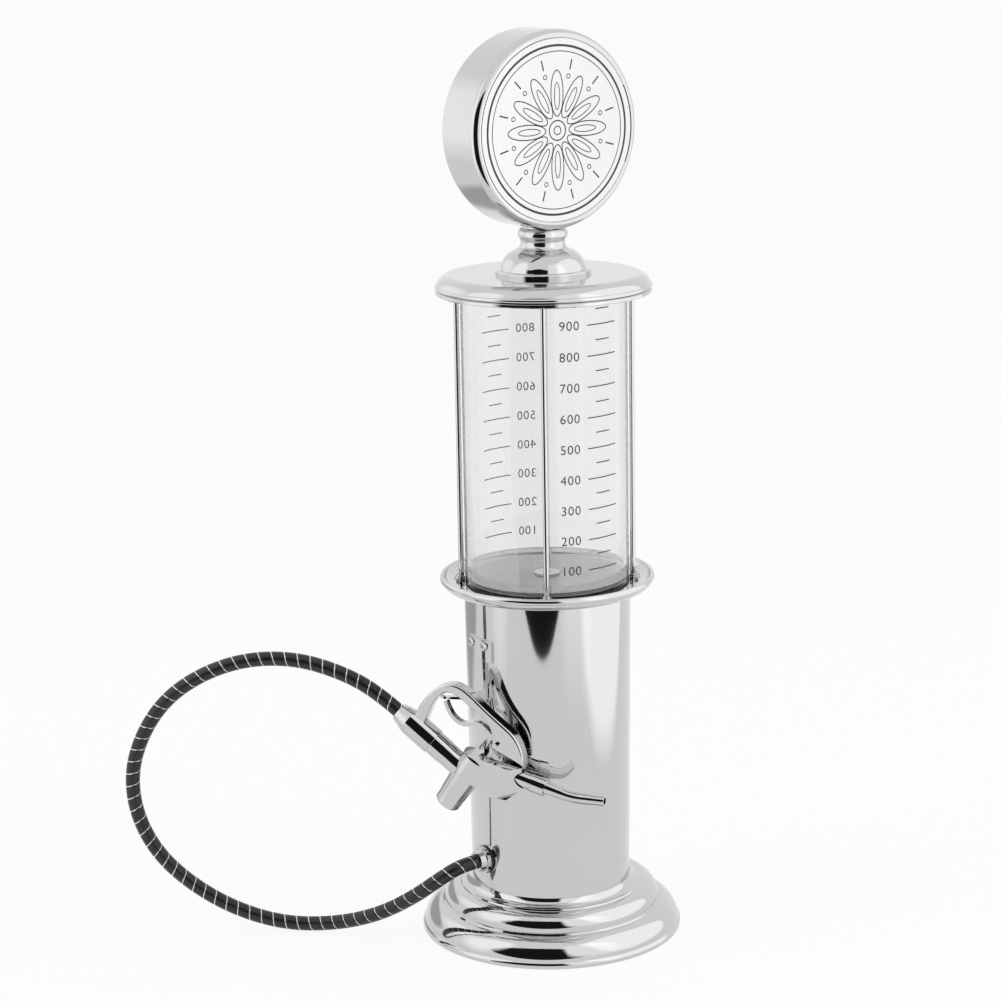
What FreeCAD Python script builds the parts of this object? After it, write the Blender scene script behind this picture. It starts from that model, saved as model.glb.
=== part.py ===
import FreeCAD, Part
import math
import os

# Cocktail dispenser in the style of an old petrol pump: a weighted foot and a chrome column
# carry a clear graduated tank under a lift-off lid with a round head, and a hose runs from the
# foot of the column to a small nozzle gun that hangs on a hook at the column's side.
# Millimetres, +Z up, origin at the centre of the underside. The head faces -Y. The hook, the
# gland and the hose are on the -X side.

V = FreeCAD.Vector
os.makedirs("parts", exist_ok=True)

# Foot
foot_r = 73.0
foot_h = 30.0
foot_sheet = 1.2
foot_rim_h = 3.4
foot_edge = 0.4
foot_crease_in = 11.4
foot_crease_z = 15.0
foot_step = 1.5
foot_lower_bulge = (1.1, 2.1)
foot_upper_bulge = (2.4, 1.7)
foot_top_hollow = (1.2, 0.2)
foot_pad_rise = 0.5
foot_ledge_out = 6.8
foot_ledge_z = 25.4
foot_seat_w = 14.0
pad_t = 2.0
pad_gap = 1.5
ballast_t = 6.0
ballast_gap = 3.0
ballast_hub_r = 40.0

# Column
column_r = 44.4
column_h = 167.2
column_draft = 0.57
column_wall = 1.3
ring_t = 3.0
ring_w = 12.0
foot_screw_r = 2.0
foot_screw_count = 3
screw_clearance = 0.25
spigot_clearance = 0.2

# Collar on the column
collar_r = 59.3
collar_t = 3.0
collar_rim_h = 7.4
collar_dish_r = 50.5
collar_spigot_h = 6.0
collar_spigot_w = 2.0

# Tank
tank_bore_r = 42.8
tank_wall = 2.4
tank_h = 158.4
tank_plateau_h = 2.3
tank_floor_t = 1.5
tank_floor_clearance = 0.3
gasket_t = 1.0
top_ring_in = 0.2
top_ring_edge = 0.5
top_ring_t = 2.4

# Tie rods
rod_count = 4
rod_r = 1.5
rod_circle_r = 47.3
rod_angle = -35.5
rod_thread = 2.4
rod_tail = 3.4
rod_foot_r = 3.1
rod_foot_h = 1.6
rod_knob_r = 2.2
rod_knob_h = 1.2
rod_nut_af = 5.5
rod_nut_h = 2.4
rod_clearance = 0.2

# Outlet of the tank, tube inside the column and hose gland in its wall
outlet_bore_r = 1.8
outlet_shank_r = 4.0
outlet_shank_l = 16.5
outlet_flange_r = 7.0
outlet_flange_t = 1.0
outlet_nut_af = 13.0
outlet_nut_h = 4.0
barb_r = 2.6
barb_l = 8.0
feed_wall = 1.4
feed_bend_r = 30.0
gland_z = 46.5
gland_shank_r = 5.2
gland_flange_r = 7.8
gland_flange_t = 2.0
gland_nose_r = 5.6
gland_nose_flare = 0.8
gland_nose_l = 3.0
gland_washer_t = 1.0
gland_nut_af = 14.0
gland_nut_h = 3.5
gland_bore_r = 2.0

# Hook for the gun
hook_z = 168.5
hook_plate_w = 22.0
hook_plate_h = 12.0
hook_stem_w = 13.0
hook_t = 1.3
hook_tongue_w = 5.0
hook_tongue_t = 1.4
hook_tongue_l = 26.0
hook_tongue_z = 141.2
hook_slope = 12.0
hook_screw_r = 1.5
hook_screw_gap = 12.0
hook_screw_drop = 3.0
hook_head_r = 2.6
hook_head_h = 1.4
hook_head_round = 0.8
hook_nut_af = 5.5
hook_nut_h = 2.4
nut_gap = 0.1

# Lid
lid_r = 58.8
lid_h = 7.7
lid_shoulder = 8.8
lid_lip_round = 0.8
lid_dome_in = 3.4
lid_dome_drop = 1.6
lid_sheet = 1.2
lid_gap = 0.2
lid_insert_clearance = 0.5
lid_insert_wall = 1.6
lid_insert_drop = 3.2

# Neck
neck_h = 27.0
neck_flange_r = 25.9
neck_flange_h = 2.6
neck_dome_r = 22.9
neck_dome_top_r = 14.2
neck_dome_top_z = 13.2
neck_waist_r = 12.1
neck_waist_z = 17.2
neck_bead_r = 13.5
neck_bead_z = 21.9
neck_top_r = 11.6

# Round head
head_r = 52.8
head_front = 15.0
head_back = 19.5
head_drop = 2.6
head_seat_gap = 0.1
head_seam_y = 6.4
head_wall = 1.5
head_shoulder = 4.2
head_back_step = 1.3
head_edge = 0.4
head_disc_drop = 0.2
head_disc_clearance = 0.2
head_disc_t = 1.2
head_lap = 4.0
stud_r = 2.5
stud_clearance = 0.2
stud_nut_af = 8.0
stud_nut_h = 4.0

# Nozzle gun, set out in its own upright plane: s runs along the plane, z is height
gun_azimuth = 34.0
gun_offset = 54.5
gun_half = 4.0
gun_block_half = 7.0
gun_edge = 1.2
gun_block_waist = 3.6
block_taper = (0.80, 0.88)
block_shift = 2.4
handle_start = (-67.1, 133.6)
handle_slope = -37.6
handle_l = 50.0
handle_r = 7.0
handle_end_r = 6.5
sleeve_r = 7.6
sleeve_l = 17.0
ferrule_r = 5.3
ferrule_l = 8.6
ferrule_step = 0.3
ferrule_lip = 1.2
ferrule_room = 2.0
ferrule_socket = 3.0
ferrule_socket_r = 4.3
handle_bore_r = 2.6
valve_point = (-26.9, 103.0)
valve_slope = 56.0
barrel_low = -15.8
barrel_low_r = 7.6
barrel_r = 8.5
barrel_top = 11.0
chamber_r = 5.0
chamber_low = -12.0
seat_at = 5.0
seat_t = 2.0
seat_bore_r = 2.6
gallery_top = 11.0
gallery_r = 3.6
stem_top = 24.5
stem_r = 1.5
stem_clearance = 0.05
stem_head_r = 4.0
stem_head_t = 2.4
seat_gap = 0.1
cap_thread_r = 6.2
cap_r = 7.35
cap_l = 7.2
cap_floor = 3.0
cap_bore_r = 4.6
cap_edge = 1.6
spring_r = 3.5
spring_wall = 0.8
spout_point = (2.0, 103.8)
spout_slope = -15.0
spout_nut_r = 4.9
spout_seat_r = 6.9
spout_seat_l = 8.0
spout_seat_gap = 0.3
spout_nut_l = 8.6
spout_ring_r = 5.3
spout_ring_l = 8.2
spout_groove = 0.5
spout_root_r = 3.7
spout_r = 3.0
spout_bore_r = 1.9
spout_root_l = 10.0
spout_bend_r = 40.0
spout_end_l = 13.5
spout_tip_r = 2.8
spout_tip_l = 7.0
trigger_w = 4.0
trigger_arm = 5.0
trigger_nose_r = 1.3
trigger_boss_r = 2.7
trigger_gap = 0.1
trigger_pin_r = 1.25
trigger_pin_clearance = 0.05
pin_depth = 1.5
trigger_slot_gap = 0.4

# Outlines of the gun in its plane, as (s, z)
guard_outside = [
    (-58.5, 129.0), (-52.4, 140.6), (-44.8, 149.2), (-38.8, 152.6), (-32.9, 153.2), (-27.0, 151.0),
    (-18.4, 144.2), (-5.0, 133.2), (2.2, 126.8), (6.0, 119.4), (6.8, 110.5)]
guard_inside = [
    (-12.2, 119.5), (-11.4, 128.2), (-14.0, 133.4), (-24.3, 141.8), (-31.8, 147.0), (-36.8, 148.2),
    (-41.0, 146.2), (-46.6, 138.8), (-51.2, 129.0)]
block_outline = [
    (-30.0, 111.5), (-15.6, 122.8), (-15.6, 114.6), (5.6, 109.6), (6.4, 98.0), (-3.4, 90.6),
    (-8.0, 90.6), (-17.5, 95.2), (-26.0, 99.0)]
block_middle = (-12.0, 105.0)
trigger_outside = [
    (-39.8, 142.5), (-37.6, 137.0), (-34.4, 132.6), (-29.4, 129.8), (-24.0, 130.0), (-19.8, 130.4),
    (-16.6, 127.4)]
trigger_inside = [
    (-14.8, 129.6), (-19.0, 132.4), (-24.0, 132.1), (-28.6, 131.8), (-32.8, 134.0), (-35.8, 138.0),
    (-37.9, 143.1)]

# Hose: outside and bore radius, one band of its jacket and the groove between two bands
hose_r = 4.0
hose_bore_r = 2.2
hose_pitch = 7.1
hose_groove_w = 0.7
hose_groove = 0.25
hose_socket_depth = 4.4
hose_socket_gap = 0.2

# Heights and radii that follow from the sizes above
column_top = foot_h + column_h
collar_floor = column_top + collar_t
tank_floor_z = collar_floor + tank_plateau_h
tank_bottom = collar_floor + gasket_t
tank_top = tank_bottom + tank_h
top_ring_z = tank_top + gasket_t
lid_bottom = top_ring_z + top_ring_t + lid_gap
lid_top = lid_bottom + lid_h
neck_top = lid_top + neck_h
head_z = neck_top + head_r - head_drop
draft = math.tan(math.radians(column_draft))
top_ring_r = lid_r - top_ring_in
tank_r = tank_bore_r + tank_wall


def column_radius(z, inset=0.0):
    return column_r + (z - foot_h) * draft - inset


# Building blocks
def tube(outer, inner, low, high):
    return cylinder(outer, low, high).cut(cylinder(inner, low, high))


def cylinder(radius, low, high, x=0.0, y=0.0):
    return Part.makeCylinder(radius, high - low, V(x, y, low))


def rod(radius, start, direction, length):
    return Part.makeCylinder(radius, length, start, direction)


def hexagon(across_flats, start, direction, length, bore=0.0):
    face = Part.Face(Part.makePolygon([
        V(across_flats / math.sqrt(3) * math.cos(math.radians(60 * i)),
          across_flats / math.sqrt(3) * math.sin(math.radians(60 * i)), 0) for i in range(7)]))
    nut = face.extrude(V(0, 0, length))
    if bore:
        nut = nut.cut(cylinder(bore, 0, length))
    nut.Placement = FreeCAD.Placement(start, FreeCAD.Rotation(V(0, 0, 1), direction))
    return nut


def outline(start, *steps):
    """A closed wire in the XZ plane. A step is a point, or (point on the arc, end of the arc)."""
    edges = []
    last = V(start[0], 0, start[1])
    for step in steps:
        if isinstance(step[0], tuple):
            middle, end = (V(p[0], 0, p[1]) for p in step)
            edges.append(Part.Arc(last, middle, end).toShape())
        else:
            end = V(step[0], 0, step[1])
            edges.append(Part.LineSegment(last, end).toShape())
        last = end
    edges.append(Part.LineSegment(last, V(start[0], 0, start[1])).toShape())
    return Part.Wire(edges)


def turned(start, *steps):
    return Part.Face(outline(start, *steps)).revolve(V(0, 0, 0), V(0, 0, 1), 360)


def around(shape, count, first=0.0):
    copies = []
    for i in range(count):
        copy = shape.copy()
        copy.rotate(V(0, 0, 0), V(0, 0, 1), first + 360.0 * i / count)
        copies.append(copy)
    return copies


def column_solid(low, high, inset=0.0):
    return Part.makeCone(column_radius(low, inset), column_radius(high, inset), high - low, V(0, 0, low))


def save(name, shape):
    shape.exportStep("parts/" + name + ".step")
    bad = "" if shape.isValid() else "  NOT VALID"
    print(f"{name}: {len(shape.Solids)} solid(s), {shape.Volume:.1f} mm3{bad}")


# Foot: a pressed two-step cover over a steel ballast plate and a soft pad
def foot_outside(inset=0.0):
    rim = foot_r - inset
    crease = rim - foot_crease_in
    upper = crease - foot_step + foot_edge / 2
    ledge = column_r + foot_ledge_out - inset
    drop = inset
    z1 = foot_rim_h - drop
    z2 = foot_crease_z - drop
    z3 = foot_crease_z + foot_step - drop
    z4 = foot_ledge_z - drop
    z5 = foot_h - drop
    top = column_r - inset * 0.4
    return turned(
        (0, 0), (rim, 0), (rim, z1 - 2.5 * foot_edge),
        ((rim - foot_edge, z1 - foot_edge / 2), (rim - 3 * foot_edge, z1 + 1.5 * foot_edge)),
        (((rim + crease) / 2 + foot_lower_bulge[0], (z1 + z2) / 2 + foot_lower_bulge[1]), (crease, z2)),
        (crease - foot_edge, z3 - foot_edge),
        (upper, z3),
        (((upper + ledge) / 2 + foot_upper_bulge[0], (z3 + z4) / 2 + foot_upper_bulge[1]), (ledge, z4)),
        (ledge - foot_edge, z4 + 2 * foot_edge),
        (((ledge + top) / 2 - foot_top_hollow[0], (z4 + z5) / 2 - foot_top_hollow[1]), (top + foot_edge, z5)),
        (0, z5))


foot_seat_r = column_r - foot_seat_w
foot_screw_circle = column_r - column_wall - ring_w / 2
ballast_top = pad_t + ballast_t
ring_z = foot_h


def foot_screw_holes(radius, low, high):
    return around(cylinder(radius, low, high, foot_screw_circle), foot_screw_count)


def base_foot():
    foot = foot_outside().cut(foot_outside(foot_sheet))
    foot = foot.cut(cylinder(foot_r, -1, foot_pad_rise))
    foot = foot.cut(cylinder(foot_seat_r, foot_ledge_z, foot_h + 1))
    for hole in foot_screw_holes(foot_screw_r + screw_clearance, 0, foot_h + 1):
        foot = foot.cut(hole)
    return foot


def base_pad():
    return cylinder(foot_r - foot_sheet - pad_gap, 0, pad_t)


def ballast_plate():
    plate = cylinder(foot_r - foot_sheet - ballast_gap, pad_t, ballast_top)
    hub = cylinder(ballast_hub_r, ballast_top, foot_h - foot_sheet)
    plate = plate.fuse(hub).removeSplitter()
    for hole in foot_screw_holes(foot_screw_r + screw_clearance, pad_t, foot_h):
        plate = plate.cut(hole)
    for hole in foot_screw_holes(foot_screw_r * 2, pad_t, pad_t + foot_screw_r * 2):
        plate = plate.cut(hole)
    return plate


def base_screws():
    screw = cylinder(foot_screw_r * 1.8, pad_t, pad_t + foot_screw_r * 2, foot_screw_circle)
    screw = screw.fuse(cylinder(foot_screw_r, pad_t, ring_z + ring_t, foot_screw_circle))
    return Part.makeCompound(around(screw.removeSplitter(), foot_screw_count))


save("base_foot", base_foot())
save("base_pad", base_pad())
save("ballast_plate", ballast_plate())
save("base_screws", base_screws())


# Column: a drawn tube with a slight draft, wider at the top, on a threaded foot ring
def column():
    shell = column_solid(foot_h, column_top).cut(column_solid(foot_h, column_top, column_wall))
    shell = shell.cut(rod(gland_shank_r + screw_clearance, V(0, 0, gland_z), V(-1, 0, 0), column_r + 20))
    for hole in hook_screw_axes(hook_screw_r + screw_clearance):
        shell = shell.cut(hole)
    return shell


def column_ring():
    outer = column_radius(ring_z, column_wall) - spigot_clearance
    ring = tube(outer, outer - ring_w, ring_z, ring_z + ring_t)
    for hole in foot_screw_holes(foot_screw_r, ring_z, ring_z + ring_t):
        ring = ring.cut(hole)
    return ring


# Hook: a plate rolled to the column with a stem that turns out into a narrow tongue
hook_screw_z = hook_z + hook_plate_h / 2 - hook_screw_drop


def hook_screw_axes(radius, start=20.0, length=60.0):
    half = hook_screw_gap / 2
    return [rod(radius, V(-start, y, hook_screw_z), V(-1, 0, 0), length) for y in (-half, half)]


def hook_slab(width, low, high):
    box = Part.makeBox(column_r + 10, width, high - low, V(-column_r - 20, -width / 2, low))
    return box.common(column_solid(low, high, -hook_t)).cut(column_solid(low, high))


def hanger():
    top = hook_z + hook_plate_h / 2
    low = hook_z - hook_plate_h / 2
    plate = hook_slab(hook_plate_w, low, top)
    stem = hook_slab(hook_stem_w, hook_tongue_z - hook_tongue_t, low)
    root = column_radius(hook_tongue_z)
    half = hook_tongue_w / 2
    wide = hook_stem_w / 2
    tip = root + hook_tongue_l
    tongue = Part.Face(Part.Wire([
        Part.makeLine(V(-root + 1, -wide, 0), V(-root + 1, wide, 0)),
        Part.makeLine(V(-root + 1, wide, 0), V(-root - hook_t - 2, wide, 0)),
        Part.makeLine(V(-root - hook_t - 2, wide, 0), V(-root - 11, half, 0)),
        Part.makeLine(V(-root - 11, half, 0), V(-tip + half, half, 0)),
        Part.Arc(V(-tip + half, half, 0), V(-tip, 0, 0), V(-tip + half, -half, 0)).toShape(),
        Part.makeLine(V(-tip + half, -half, 0), V(-root - 11, -half, 0)),
        Part.makeLine(V(-root - 11, -half, 0), V(-root - hook_t - 2, -wide, 0)),
        Part.makeLine(V(-root - hook_t - 2, -wide, 0), V(-root + 1, -wide, 0))]))
    tongue = tongue.extrude(V(0, 0, -hook_tongue_t))
    tongue.rotate(V(-root, 0, 0), V(0, 1, 0), hook_slope)
    tongue.translate(V(0, 0, hook_tongue_z))
    tongue = tongue.cut(column_solid(hook_tongue_z - 20, hook_tongue_z + 20))
    piece = plate.fuse(stem).fuse(tongue).removeSplitter()
    for hole in hook_screw_axes(hook_screw_r + screw_clearance):
        piece = piece.cut(hole)
    return piece


def hook_face():
    """Distance of the plate's outside from the axis at the two screws."""
    return math.sqrt((column_radius(hook_screw_z) + hook_t) ** 2 - (hook_screw_gap / 2) ** 2)


def hanger_screws():
    screws = []
    inner = column_radius(hook_screw_z, column_wall) - hook_nut_h - 2
    for side in (-1, 1):
        y = side * hook_screw_gap / 2
        head = rod(hook_head_r, V(-hook_face(), y, hook_screw_z), V(-1, 0, 0), hook_head_h)
        outside = min(head.Edges, key=lambda e: e.CenterOfMass.x)
        head = head.makeFillet(hook_head_round, [outside])
        shank = rod(hook_screw_r, V(-inner, y, hook_screw_z), V(-1, 0, 0), hook_face() - inner + 0.5)
        screw = head.fuse(shank).removeSplitter()
        screws.append(screw.cut(column_solid(hook_screw_z - 9, hook_screw_z + 9, -hook_t).cut(
            rod(hook_screw_r, V(0, y, hook_screw_z), V(-1, 0, 0), column_r + 20))))
    return Part.makeCompound(screws)


def hanger_nuts():
    nuts = []
    for side in (-1, 1):
        y = side * hook_screw_gap / 2
        reach = hook_screw_gap / 2 + hook_nut_af / math.sqrt(3)
        face = math.sqrt(column_radius(hook_screw_z, column_wall) ** 2 - reach ** 2) - nut_gap
        nuts.append(hexagon(hook_nut_af, V(-face, y, hook_screw_z), V(1, 0, 0), hook_nut_h, hook_screw_r))
    return Part.makeCompound(nuts)


save("column", column())
save("column_ring", column_ring())
save("hanger", hanger())
save("hanger_screws", hanger_screws())
save("hanger_nuts", hanger_nuts())


# Collar: dished, with a rolled rim, a plateau inside the tank and a spigot in the column
def collar():
    top = collar_floor + collar_rim_h - collar_t
    bore = outlet_shank_r + screw_clearance
    plateau = tank_bore_r - tank_floor_clearance
    spigot = column_radius(column_top - collar_spigot_h, column_wall) - spigot_clearance
    piece = turned(
        (bore, column_top), (spigot - collar_spigot_w, column_top),
        (spigot - collar_spigot_w, column_top - collar_spigot_h), (spigot, column_top - collar_spigot_h),
        (spigot, column_top), (collar_dish_r + 1.5, column_top),
        (((collar_dish_r + collar_r) / 2 + 1.6, column_top + 1.2), (collar_r - 0.7, top - 3.4)),
        ((collar_r, top - 2.0), (collar_r - 0.7, top - 0.5)),
        ((collar_r - 1.5, top), (collar_r - 2.3, top - 0.6)),
        (((collar_dish_r + collar_r) / 2 + 0.6, collar_floor + 1.1), (collar_dish_r, collar_floor)),
        (plateau, collar_floor), (plateau, tank_floor_z), (bore, tank_floor_z))
    for hole in around(cylinder(rod_r, collar_floor - rod_thread, top, rod_circle_r), rod_count, rod_angle):
        piece = piece.cut(hole)
    return piece


save("collar", collar())

# Tank: floor disc, gaskets, clear tube and the ring that clamps it
top_ring_top = top_ring_z + top_ring_t
floor_disc_r = tank_bore_r - tank_floor_clearance
outlet_top = tank_floor_z + tank_floor_t
save("tank_floor", tube(floor_disc_r, outlet_shank_r + screw_clearance, tank_floor_z, outlet_top))
save("tank_gasket", tube(tank_r, tank_bore_r, collar_floor, tank_bottom))
save("tank_tube", tube(tank_r, tank_bore_r, tank_bottom, tank_top))
save("top_gasket", tube(tank_r, tank_bore_r, tank_top, top_ring_z))


def top_ring():
    edge = top_ring_edge
    ring = turned((tank_bore_r, top_ring_z), (top_ring_r - edge, top_ring_z),
                  (top_ring_r, top_ring_z + edge), (top_ring_r, top_ring_top - edge),
                  (top_ring_r - edge, top_ring_top), (tank_bore_r, top_ring_top))
    rod_hole = cylinder(rod_r + rod_clearance, top_ring_z, top_ring_top, rod_circle_r)
    for hole in around(rod_hole, rod_count, rod_angle):
        ring = ring.cut(hole)
    return ring


save("top_ring", top_ring())

# Tie rods round the tube, with a flatted foot on the collar and a nut on the ring
rod_top = top_ring_top + rod_tail
tie_rod = cylinder(rod_r, collar_floor - rod_thread, rod_top, rod_circle_r)
for number, shape in enumerate(around(tie_rod, rod_count, rod_angle), 1):
    save(f"tie_rod_{number}", shape)

rod_foot = cylinder(rod_foot_r, collar_floor, collar_floor + rod_foot_h, rod_circle_r)
rod_foot = rod_foot.cut(cylinder(tank_r + rod_clearance, 0, tank_top))
rod_foot_top = collar_floor + rod_foot_h
rod_knob = cylinder(rod_knob_r, rod_foot_top, rod_foot_top + rod_knob_h, rod_circle_r)
rod_knob = rod_knob.cut(cylinder(tank_r + rod_clearance, 0, tank_top))
rod_foot = rod_foot.fuse(rod_knob).removeSplitter().cut(cylinder(rod_r, 0, tank_top, rod_circle_r))
save("rod_feet", Part.makeCompound(around(rod_foot, rod_count, rod_angle)))
rod_nut = hexagon(rod_nut_af, V(rod_circle_r, 0, top_ring_top), V(0, 0, 1), rod_nut_h, rod_r)
save("rod_nuts", Part.makeCompound(around(rod_nut, rod_count, rod_angle)))

# Outlet in the tank floor, its gasket and nut, and the tube down to the gland
outlet_low = outlet_top - outlet_shank_l
outlet = cylinder(outlet_flange_r, outlet_top, outlet_top + outlet_flange_t)
outlet = outlet.fuse(cylinder(outlet_shank_r, outlet_low, outlet_top))
outlet = outlet.fuse(cylinder(barb_r, outlet_low - barb_l, outlet_low)).removeSplitter()
save("outlet_fitting", outlet.cut(cylinder(outlet_bore_r, 0, tank_top)))
outlet_gasket_z = column_top - gasket_t
save("outlet_gasket", tube(outlet_nut_af / 2, outlet_shank_r, outlet_gasket_z, column_top))
outlet_nut = hexagon(outlet_nut_af, V(0, 0, outlet_gasket_z), V(0, 0, -1), outlet_nut_h, outlet_shank_r)
save("outlet_nut", outlet_nut)

gland_wall = column_radius(gland_z)
gland_inner = column_radius(gland_z, column_wall)
gland_face = gland_wall + gland_washer_t
gland_nut_x = math.sqrt(gland_inner ** 2 - gland_nut_af ** 2 / 3) - nut_gap - gland_washer_t
gland_tail = gland_nut_x - gland_nut_h - 1.5
gland_barb_end = gland_tail - barb_l * 0.6


def feed_tube():
    bend = V(-feed_bend_r, 0, gland_z + feed_bend_r)
    reach = feed_bend_r * math.sqrt(0.5)
    low = V(bend.x, 0, gland_z)
    runs = [Part.makeLine(V(0, 0, outlet_low), V(0, 0, bend.z)),
            Part.Arc(V(0, 0, bend.z), bend + V(reach, 0, -reach), low).toShape()]
    if gland_tail > feed_bend_r:
        runs.append(Part.makeLine(low, V(-gland_tail, 0, gland_z)))
    path = Part.Wire(runs)
    outer = Part.Wire(Part.makeCircle(barb_r + feed_wall, V(0, 0, outlet_low), V(0, 0, 1)))
    inner = Part.Wire(Part.makeCircle(barb_r, V(0, 0, outlet_low), V(0, 0, 1)))
    return path.makePipeShell([outer], True, False).cut(path.makePipeShell([inner], True, False))


save("feed_tube", feed_tube())


def hose_gland():
    out = V(-1, 0, 0)
    body = rod(gland_shank_r, V(-gland_tail, 0, gland_z), out, gland_face - gland_tail)
    body = body.fuse(rod(gland_flange_r, V(-gland_face, 0, gland_z), out, gland_flange_t))
    nose_foot = V(-gland_face - gland_flange_t, 0, gland_z)
    nose = Part.makeCone(gland_nose_r + gland_nose_flare, gland_nose_r, gland_nose_l, nose_foot, out)
    body = body.fuse(nose).fuse(rod(barb_r, V(-gland_barb_end, 0, gland_z), out, gland_tail - gland_barb_end))
    body = body.removeSplitter()
    mouth = gland_face + gland_flange_t + gland_nose_l
    body = body.cut(rod(gland_bore_r, V(0, 0, gland_z), out, mouth))
    socket = V(-mouth + hose_socket_depth, 0, gland_z)
    return body.cut(rod(hose_r + hose_socket_gap, socket, out, hose_socket_depth))


def saddle_washers():
    out = V(-1, 0, 0)
    low = gland_z - gland_nut_af
    high = gland_z + gland_nut_af
    outer = rod(gland_flange_r, V(-gland_nut_x, 0, gland_z), out, gland_face - gland_nut_x)
    outer = outer.cut(column_solid(low, high))
    inner = rod(gland_nut_af / 2, V(-gland_nut_x, 0, gland_z), out, gland_face - gland_nut_x)
    inner = inner.common(column_solid(low, high, column_wall))
    bore = rod(gland_shank_r, V(0, 0, gland_z), out, gland_face)
    return Part.makeCompound([outer.cut(bore), inner.cut(bore)])


save("hose_gland", hose_gland())
save("gland_washers", saddle_washers())
save("gland_nut", hexagon(gland_nut_af, V(-gland_nut_x, 0, gland_z), V(1, 0, 0), gland_nut_h, gland_shank_r))


# Lid, its insert, and the turned neck
def lid_cap():
    shoulder = lid_r - lid_shoulder

    def dome(inset):
        r = lid_r - inset
        top = lid_top - inset
        low = lid_bottom - inset
        return turned((0, low), (r - lid_lip_round, low),
                      ((r, low + 1.5 * lid_lip_round), (r - lid_lip_round, low + 3 * lid_lip_round)),
                      ((r - lid_dome_in, top - lid_dome_drop), (shoulder, top)), (0, top))
    cap = dome(0.0).cut(dome(lid_sheet))
    return cap.cut(cylinder(stud_r + stud_clearance, lid_bottom, lid_top + 1))


insert_r = tank_bore_r - lid_insert_clearance
save("lid_cap", lid_cap())
insert_low = top_ring_top - lid_insert_drop
save("lid_insert", tube(insert_r, insert_r - lid_insert_wall, insert_low, lid_top - lid_sheet))


def neck():
    z = lid_top
    piece = turned(
        (0, z), (neck_flange_r, z), (neck_flange_r, z + neck_flange_h - 1.0),
        ((neck_flange_r - 0.4, z + neck_flange_h - 0.3), (neck_flange_r - 1.1, z + neck_flange_h)),
        (neck_dome_r + 0.4, z + neck_flange_h), (neck_dome_r, z + neck_flange_h + 2.0),
        ((neck_dome_r - 2.6, z + neck_dome_top_z - 4.0), (neck_dome_top_r, z + neck_dome_top_z)),
        ((neck_waist_r + 0.1, z + neck_waist_z - 1.6), (neck_waist_r + 0.3, z + neck_waist_z + 1.4)),
        ((neck_bead_r, z + neck_bead_z), (neck_top_r + 0.6, z + neck_bead_z + 2.4)),
        (neck_top_r, z + neck_bead_z + 3.0), (neck_top_r, neck_top), (0, neck_top))
    piece = piece.cut(cylinder(stud_r + stud_clearance, z, neck_top))
    drum = rod(head_r + head_seat_gap, V(0, head_back, head_z), V(0, -1, 0), head_front + head_back)
    return piece.cut(drum)


save("neck", neck())


# Round head: two round-shouldered drum shells lapped at a seam, and a flat disc let into the front
def head_turned(start, *steps):
    """Revolve round the head's own axis. Points are (radius, depth towards -Y)."""
    solid = turned(start, *steps)
    solid.Placement = FreeCAD.Placement(V(0, 0, head_z), FreeCAD.Rotation(V(0, 0, 1), V(0, -1, 0)))
    return solid


face_r = head_r - head_shoulder
disc_r = face_r - head_edge
disc_back = head_front - head_disc_drop - head_disc_t
seam = -head_seam_y


def head_shoulder_arc(depth, side):
    """Round shoulder between the drum and its flat face; side is 1 at the front, -1 at the back."""
    centre = (face_r, depth - side * head_shoulder)
    reach = head_shoulder * math.sqrt(0.5)
    return (centre[0] + reach, centre[1] + side * reach), (head_r, centre[1])


def head_front_shell():
    inner = head_r - head_wall
    floor = disc_back - head_wall
    shell = head_turned(
        (0, disc_back), (disc_r, disc_back), (disc_r, head_front - head_edge), (face_r, head_front),
        head_shoulder_arc(head_front, 1), (head_r, seam), (inner, seam), (inner, floor - head_wall),
        (inner - head_wall, floor), (0, floor))
    return shell.cut(cylinder(stud_r + stud_clearance, head_z - head_r - 1, head_z - head_r + 3))


def head_back_shell():
    foot = -head_back + head_back_step
    inner = head_r - head_wall
    lap = inner - spigot_clearance
    shell = head_turned(
        (0, -head_back), (disc_r - head_edge, -head_back), (disc_r, -head_back + head_edge), (disc_r, foot),
        (face_r, foot), head_shoulder_arc(foot, -1), (head_r, seam), (lap, seam),
        (lap, seam + head_lap), (lap - head_wall, seam + head_lap), (lap - head_wall, foot + 2 * head_wall),
        (lap - 2 * head_wall, foot + head_wall), (0, foot + head_wall))
    notch = stud_nut_af * 0.8
    return shell.cut(cylinder(notch, head_z - head_r, head_z - head_r + head_lap * 3))


head_disc = head_turned((0, disc_back), (disc_r - head_disc_clearance, disc_back),
                        (disc_r - head_disc_clearance, disc_back + head_disc_t), (0, disc_back + head_disc_t))
save("head_front_shell", head_front_shell())
save("head_back_shell", head_back_shell())
save("head_disc", head_disc)

# One stud holds lid, neck and head together
stud_low = lid_top - lid_sheet - stud_nut_h - 1.5
stud_seat = head_z - math.sqrt((head_r - head_wall) ** 2 - (stud_nut_af / 1.7) ** 2) + 0.05
stud_high = stud_seat + stud_nut_h + 1.5
save("head_stud", cylinder(stud_r, stud_low, stud_high))
save("stud_nuts", Part.makeCompound([
    hexagon(stud_nut_af, V(0, 0, lid_top - lid_sheet), V(0, 0, -1), stud_nut_h, stud_r),
    hexagon(stud_nut_af, V(0, 0, stud_seat), V(0, 0, 1), stud_nut_h, stud_r)]))

# Nozzle gun. Its pieces are made in the XZ plane, x being s, then set at their place
gun_place = FreeCAD.Placement(
    V(-math.sin(math.radians(90 - gun_azimuth)), -math.cos(math.radians(90 - gun_azimuth)), 0) * gun_offset,
    FreeCAD.Rotation(V(0, 0, 1), gun_azimuth - 90))


def on_line(point, slope, distance):
    angle = math.radians(slope)
    return (point[0] + distance * math.cos(angle), point[1] + distance * math.sin(angle))


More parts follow.
